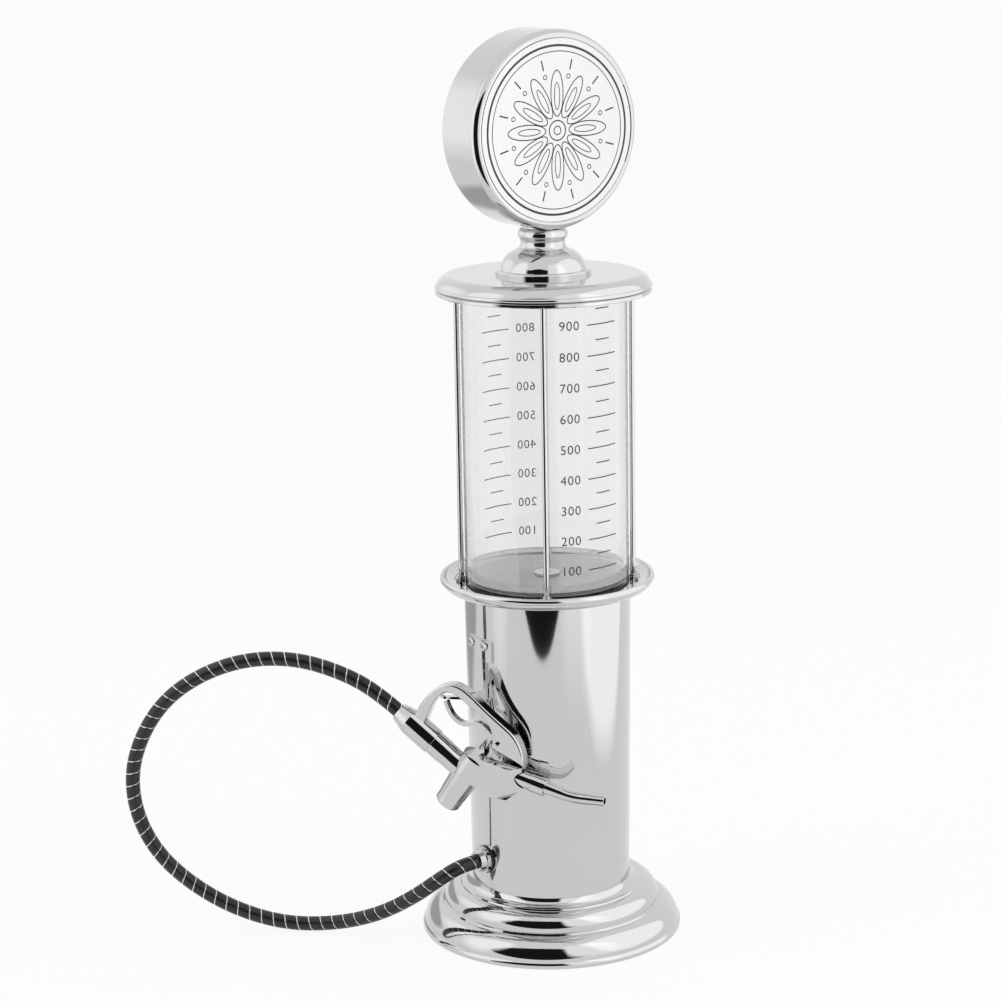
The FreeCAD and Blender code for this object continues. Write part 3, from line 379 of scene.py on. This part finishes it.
# Seals and the pad under the foot: black moulded rubber with a fine matt grain.
rubber = Finish("black_rubber")
grain = rubber.noise(700.0, detail=3.0)
rubber.set("Base Color", rubber.mix(grain, (0.018, 0.018, 0.018, 1), (0.04, 0.04, 0.04, 1)))
rubber.set("Roughness", 0.6 + grain * 0.25)
rubber.bump(grain, 0.0001, 0.5)
dress(rubber, "base_pad", "tank_gasket", "top_gasket", "outlet_gasket", "gland_washers", "valve_seat")

# Feed tube and lid insert: milky moulded plastic.
milky = Finish("white_plastic", Roughness=0.4)
flow = milky.noise(90.0)
milky.set("Base Color", milky.mix(flow, (0.80, 0.80, 0.78, 1), (0.87, 0.87, 0.85, 1)))
dress(milky, "feed_tube", "lid_insert")


# Tank floor: a polished steel disc under the drink with fine turning rings. It lies in the shade of lid and
# tube and reflects the dark room, and that shade and dark reflection are painted into its colour as dark
# grey.
painted_shade_disc = Finish("steel_disc", Metallic=1.0)
spot = painted_shade_disc.node("TexCoord", output="Object")
away = painted_shade_disc.node("VectorMath", {"operation": "MULTIPLY"}, {0: spot, 1: (1, 1, 0)})
radius = painted_shade_disc.node("VectorMath", {"operation": "LENGTH"}, {0: away}, output="Value")
turning = painted_shade_disc.node("TexNoise", {"noise_dimensions": "1D"}, {"W": radius * 2600.0, "Detail": 3.0})
# painted shade: the dark grey base colour stands in for shade and the dark reflection; the rings between its
# two tones are the turning
painted_shade_disc.set("Base Color", painted_shade_disc.mix(turning, (0.15, 0.15, 0.155, 1), (0.25, 0.25, 0.255, 1)))
painted_shade_disc.set("Roughness", 0.12 + turning * 0.12)
painted_shade_disc.bump(turning, 0.00002, 0.5)
dress(painted_shade_disc, "tank_floor")


# Tank: an extruded acrylic tube, clear, with painted shade: its colour turns grey where the wall is seen edge
# on, in place of the dark surroundings seen through the wall.
acrylic = Finish("clear_acrylic", Roughness=0.0, IOR=1.49, Transmission_Weight=1.0)
facing = acrylic.node("LayerWeight", values={"Blend": 0.5}, output="Facing")
painted_edge_shade = facing.maths("POWER", facing, 6.0)
# painted shade: the base colour darkens towards grazing view, standing in for dark surroundings refracted in
# the wall
acrylic.set("Base Color", acrylic.mix(painted_edge_shade, (0.90, 0.90, 0.905, 1), (0.36, 0.37, 0.37, 1)))
dress(acrylic, "tank_tube")


# Graduations: black numbers from 100 to 900 and two lengths of line, screen-printed on the
# outside of the tube, once at the front and once at the back.
ink = Finish("black_ink", Roughness=0.45)
print_grain = ink.noise(1500.0, detail=2.0)
ink.set("Base Color", ink.mix(print_grain, (0.012, 0.012, 0.012, 1), (0.035, 0.035, 0.035, 1)))
tube_r = 0.0452
ink_r = tube_r + 0.00004
first_mark = 0.2157
mark_step = 0.0166


def wrap(piece, middle):
    """Rolls a flat print round the tube: x becomes the way round it, y the height."""
    for corner in piece.data.vertices:
        turn = math.radians(middle) + corner.co.x / tube_r
        reach = ink_r + corner.co.z
        corner.co = (reach * math.sin(turn), -reach * math.cos(turn), corner.co.y)


def bar(wide, tall, middle, height):
    """One printed line, cut into short lengths so that it can bend round the tube."""
    bpy.ops.mesh.primitive_grid_add(x_subdivisions=10, y_subdivisions=1, size=1.0, location=(0, 0, 0))
    piece = bpy.context.object
    piece.scale = (wide, tall, 1)
    piece.location = (0, height, 0)
    bpy.ops.object.transform_apply(location=True, rotation=True, scale=True)
    wrap(piece, middle)
    return piece


def number(text, middle, height):
    """One printed number, written so that it reads from outside the tube."""
    bpy.ops.object.text_add(location=(0, 0, 0))
    piece = bpy.context.object
    piece.data.body = text
    piece.data.size = 0.0070
    piece.data.align_x = "CENTER"
    piece.data.align_y = "CENTER"
    piece.data.space_character = 1.12
    bpy.ops.object.convert(target="MESH")
    piece.location = (0, height, 0)
    bpy.ops.object.transform_apply(location=True, rotation=True, scale=True)
    wrap(piece, middle)
    return piece


def scale_marks(name, front, low):
    """One scale: numbers to the left of its middle line, long lines at them and short ones between."""
    pieces = []
    for i in range(9):
        height = low + i * mark_step
        pieces.append(number(str(100 * (i + 1)), front - 16.5, height))
        pieces.append(bar(0.0205, 0.00062, front + 9.5, height))
        if i:
            pieces.append(bar(0.0098, 0.00062, front + 9.5, height - mark_step / 2))
    pieces.append(bar(0.0098, 0.00062, front + 9.5, low + 8.5 * mark_step))
    bpy.ops.object.select_all(action="DESELECT")
    for piece in pieces:
        piece.select_set(True)
    bpy.context.view_layer.objects.active = pieces[0]
    bpy.ops.object.join()
    marks = bpy.context.object
    marks.name = name
    marks.data.materials.clear()
    marks.data.materials.append(ink.block)
    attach(marks, "stand")
    return marks


scale_marks("scale_front", -1.5, first_mark)
scale_marks("scale_back", 175.5, first_mark + 0.002)


# Gun: set out in its own upright plane. s runs along the plane, the second number is height,
# and the plane stands 54.5 mm from the axis, turned 34 degrees from the front.
gun_turn = math.radians(34.0 - 90.0)
gun_place = Matrix.Translation(Vector((-0.82904, -0.55919, 0)) * 0.0545) @ Matrix.Rotation(gun_turn, 4, "Z")
mm = 0.001


def put_on_gun(piece, name, finish):
    """Moves a piece from the gun's plane to its place on the pump, with its origin at zero."""
    bpy.ops.object.select_all(action="DESELECT")
    piece.select_set(True)
    bpy.context.view_layer.objects.active = piece
    piece.matrix_world = gun_place @ piece.matrix_world
    bpy.ops.object.transform_apply(location=True, rotation=True, scale=True)
    piece.name = name
    piece.data.materials.clear()
    piece.data.materials.append(finish.block)
    return piece


def turned(profile, point=(0, 0), slope=90.0, steps=64):
    """A profile of (radius, distance) in millimetres spun round a line in the gun's plane."""
    bpy.ops.mesh.primitive_plane_add(size=mm)
    piece = bpy.context.object
    bpy.ops.object.mode_set(mode="EDIT")
    bpy.ops.mesh.merge(type="CENTER")
    bpy.ops.transform.translate(value=(profile[0][0] * mm, 0, profile[0][1] * mm))
    for (r0, h0), (r1, h1) in zip(profile, profile[1:]):
        step = ((r1 - r0) * mm, 0, (h1 - h0) * mm)
        bpy.ops.mesh.extrude_vertices_move(TRANSFORM_OT_translate={"value": step})
    bpy.ops.mesh.select_all(action="SELECT")
    bpy.ops.mesh.spin(steps=steps, angle=2 * math.pi, center=(0, 0, 0), axis=(0, 0, 1))
    bpy.ops.mesh.select_all(action="SELECT")
    bpy.ops.mesh.remove_doubles(threshold=1e-6)
    bpy.ops.mesh.normals_make_consistent(inside=False)
    bpy.ops.object.mode_set(mode="OBJECT")
    bpy.ops.object.shade_smooth_by_angle(angle=math.radians(32))
    piece.matrix_world = (Matrix.Translation((point[0] * mm, 0, point[1] * mm))
                          @ Matrix.Rotation(math.radians(90.0 - slope), 4, "Y"))
    bpy.ops.object.transform_apply(location=True, rotation=True, scale=True)
    return piece


# Gun: guard bar, valve housing and grip are one zinc casting, ground, polished and plated. The
# trigger turns on a steel pin; cap, stem, ferrule, nut and spout are turned brass, plated alike.
cast = chrome("chrome_cast", rings=False, wave=0.00003)
dress(cast, "gun_body", "trigger", "trigger_pin", "valve_cap", "valve_stem", "hose_ferrule", "spout_nut",
      "spout_tube", "spout_tip")

# Grip sleeve: a turned brass sleeve slipped over the casting's shank behind the ferrule.
grip_start = (-67.1, 133.6)
grip_slope = -37.6
sleeve = turned([(0, 8.6), (7.3, 8.6), (7.6, 8.9), (7.6, 25.2), (7.3, 25.6), (7.0, 25.7), (6.95, 34.0),
                 (0, 34.0)], grip_start, grip_slope)
put_on_gun(sleeve, "grip_sleeve", cast)
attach(sleeve, "gun")

# Valve spring: a coil of stainless wire 0.8 mm thick that stands on the cap's floor and bears on the stem's
# head.
coil_low = -20.0
coil_high = 2.5
coil_turns = 7
coil_r = 3.1
wire_r = 0.4
bpy.ops.mesh.primitive_circle_add(vertices=14, radius=wire_r * mm, rotation=(math.pi / 2, 0, 0),
                                  location=(coil_r * mm, 0, (coil_low + wire_r) * mm))
coil = bpy.context.object
bpy.ops.object.transform_apply(location=True, rotation=True, scale=True)
helix = coil.modifiers.new("helix", "SCREW")
helix.steps = 28
helix.render_steps = 28
helix.iterations = coil_turns
helix.screw_offset = (coil_high - coil_low - 2 * wire_r) / coil_turns * mm
bpy.ops.object.modifier_apply(modifier="helix")
bpy.ops.object.mode_set(mode="EDIT")
bpy.ops.mesh.select_all(action="SELECT")
bpy.ops.mesh.fill_holes(sides=0)
bpy.ops.mesh.normals_make_consistent(inside=False)
bpy.ops.object.mode_set(mode="OBJECT")
bpy.ops.object.shade_smooth_by_angle(angle=math.radians(40))
valve_middle = Vector((-26.9 * mm, 0, 103.0 * mm))
valve_slope = 56.0
valve_turn = Matrix.Rotation(math.radians(90.0 - valve_slope), 4, "Y")
coil.matrix_world = Matrix.Translation(valve_middle) @ valve_turn
put_on_gun(coil, "valve_coil", zinc)
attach(coil, "gun")
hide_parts("valve_spring")
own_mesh(coil)


# Hose gland and rod feet: turned brass, plated. The gland is screwed through the column's wall
# and the feet stand on the collar, where they hold the four rods.
turned_brass = chrome("chrome_turned")
dress(turned_brass, "hose_gland", "rod_feet")


# Hanger screws: pan-head screws of plated steel with a cross recess, through plate and column.
plate_x = -46.7
slit_x = -48.3
screw_z = 171.5
for side, screw_y in enumerate((-6.0, 6.0), start=1):
    screw = turned([(0, -7.0), (1.45, -7.0), (1.45, 0), (2.6, 0), (2.6, 0.5), (2.35, 1.0), (1.7, 1.32),
                    (0.9, 1.4), (0, 1.4)], steps=48)
    screw.rotation_euler = (0, math.radians(-90), 0)
    screw.location = (plate_x * mm, screw_y * mm, screw_z * mm)
    bpy.ops.object.transform_apply(location=True, rotation=True, scale=True)
    for lean in (20.0, 110.0):
        bpy.ops.mesh.primitive_cube_add(size=1.0, location=(slit_x * mm, screw_y * mm, screw_z * mm),
                                        rotation=(math.radians(lean), 0, 0))
        slit = bpy.context.object
        slit.scale = (1.4 * mm, 2.6 * mm, 0.5 * mm)
        bpy.ops.object.transform_apply(location=False, rotation=False, scale=True)
        cutter = screw.modifiers.new("slit", "BOOLEAN")
        cutter.operation = "DIFFERENCE"
        cutter.object = slit
        bpy.ops.object.select_all(action="DESELECT")
        screw.select_set(True)
        bpy.context.view_layer.objects.active = screw
        bpy.ops.object.modifier_apply(modifier="slit")
        bpy.ops.object.select_all(action="DESELECT")
        slit.select_set(True)
        bpy.ops.object.delete()
    screw.name = f"hanger_screw_{side}"
    screw.data.materials.clear()
    screw.data.materials.append(turned_brass.block)
    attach(screw, "stand")
    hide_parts("hanger_screws")


# Head disc: stamped steel with a satin face, let into the front shell flush with its rim. A border
# and a rosette of twelve petals with a tick between each two are printed on it in black.
satin = Finish("satin_disc", Metallic=1.0)
brushed = satin.noise(30.0, stretch=(40.0, 1, 1), detail=4.0)
satin.set("Base Color", satin.mix(brushed, (0.60, 0.60, 0.60, 1), (0.66, 0.66, 0.66, 1)))
satin.set("Roughness", 0.26 + brushed * 0.1)
dress(satin, "head_disc")
print_flat = 0.08


def loop(half_width, half_length, wide, reach=0.0, turn=0.0):
    """One printed line that closes on itself: an ellipse at a reach from the disc's middle."""
    bpy.ops.curve.primitive_bezier_circle_add(radius=1.0, location=(0, 0, 0))
    line = bpy.context.object
    line.scale = (half_width * mm, half_length * mm, 1)
    bpy.ops.object.transform_apply(location=False, rotation=False, scale=True, properties=False)
    line.data.resolution_u = 24
    line.data.bevel_depth = wide / 2 * mm
    line.data.bevel_resolution = 1
    line.location = (reach * mm * math.sin(turn), reach * mm * math.cos(turn), 0)
    line.rotation_euler = (0, 0, -turn)
    bpy.ops.object.convert(target="MESH")
    return bpy.context.object


def tick(low, high, wide, turn):
    """One straight printed line that points at the disc's middle."""
    middle = (low + high) / 2 * mm
    place = (middle * math.sin(turn), middle * math.cos(turn), 0)
    bpy.ops.mesh.primitive_cube_add(size=1.0, location=place, rotation=(0, 0, -turn))
    line = bpy.context.object
    line.scale = (wide * mm, (high - low) * mm, wide * mm)
    return line


lines = [loop(44.4, 44.4, 1.2), loop(41.4, 41.4, 0.5), loop(5.2, 5.2, 0.7), loop(2.2, 2.2, 0.6)]
for petal in range(12):
    lines.append(loop(3.9, 12.0, 0.6, 19.5, math.radians(30 * petal)))
    lines.append(loop(1.7, 7.0, 0.5, 18.0, math.radians(30 * petal)))
    lines.append(tick(32.5, 38.0, 0.8, math.radians(30 * petal + 15)))
    lines.append(loop(1.1, 1.1, 0.5, 29.0, math.radians(30 * petal + 15)))
bpy.ops.object.select_all(action="DESELECT")
for line in lines:
    line.select_set(True)
bpy.context.view_layer.objects.active = lines[0]
bpy.ops.object.join()
rosette = bpy.context.object
rosette.name = "rosette"
bpy.ops.object.transform_apply(location=True, rotation=True, scale=True)
rosette.scale = (1, 1, print_flat)
bpy.ops.object.transform_apply(location=False, rotation=False, scale=True)
rosette.rotation_euler = (math.pi / 2, 0, 0)
rosette.location = (0, -14.8 * mm, 448.1 * mm)
bpy.ops.object.transform_apply(location=True, rotation=True, scale=True)
rosette.data.materials.clear()
rosette.data.materials.append(ink.block)
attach(rosette, "lid")
